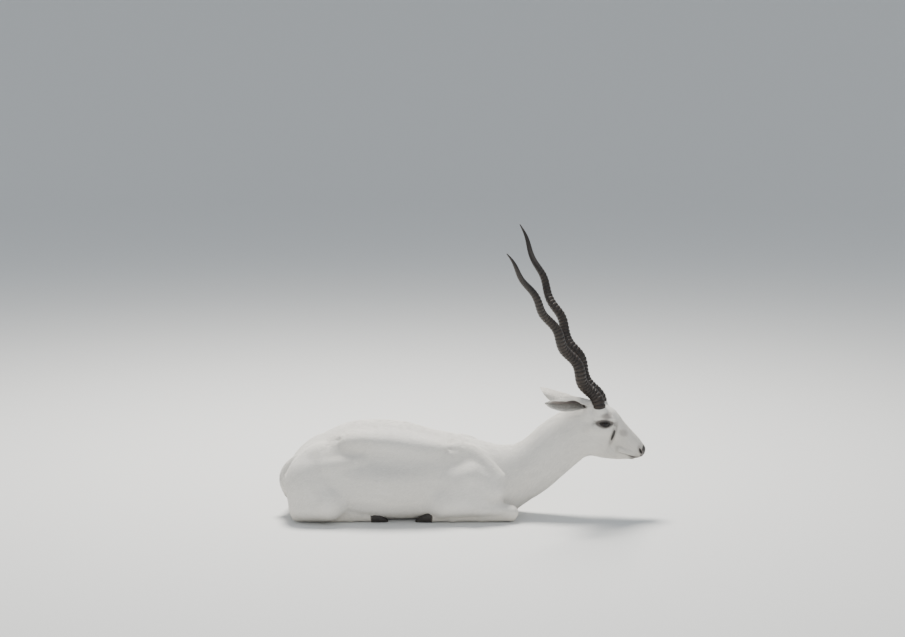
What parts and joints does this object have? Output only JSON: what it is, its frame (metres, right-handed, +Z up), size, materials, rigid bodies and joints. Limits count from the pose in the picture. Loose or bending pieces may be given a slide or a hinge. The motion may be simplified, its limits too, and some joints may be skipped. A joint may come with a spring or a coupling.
{
  "type": "blackbuck",
  "caption": "White blackbuck ram lying on its chest, legs folded under it, head raised, long ringed horns wound in open spirals, folded ears laid back.",
  "frame": {"origin": "on the floor, on the flat under the belly, in the animal's middle plane", "axes": "+X towards the nose, +Y to the animal's left, +Z up"},
  "size_m": [1.1371, 0.4081, 0.8903],
  "materials": {
    "coat": "short dense white hair, matt",
    "horn": "dark brown ringed horn, satin on the rings",
    "hoof": "black hoof horn, satin",
    "eye": "wet, very dark brown"
  },
  "bodies": {
    "root": {"torso": "coat", "neck": "coat", "head": "coat", "tail": "coat", "shoulder_left": "coat", "thigh_left": "coat", "forearm_left": "coat", "cannon_fore_left": "coat", "pastern_fore_left": "coat", "shank_left": "coat", "cannon_hind_left": "coat", "pastern_hind_left": "coat", "shoulder_right": "coat", "thigh_right": "coat", "forearm_right": "coat", "cannon_fore_right": "coat", "pastern_fore_right": "coat", "shank_right": "coat", "cannon_hind_right": "coat", "pastern_hind_right": "coat", "ear_left": "coat", "eye_left": "eye", "horn_left": "horn", "claw_fore_outer_left": "hoof", "claw_fore_inner_left": "hoof", "claw_hind_outer_left": "hoof", "claw_hind_inner_left": "hoof", "ear_right": "coat", "eye_right": "eye", "horn_right": "horn", "claw_fore_outer_right": "hoof", "claw_fore_inner_right": "hoof", "claw_hind_outer_right": "hoof", "claw_hind_inner_right": "hoof"}
  },
  "joints": []
}
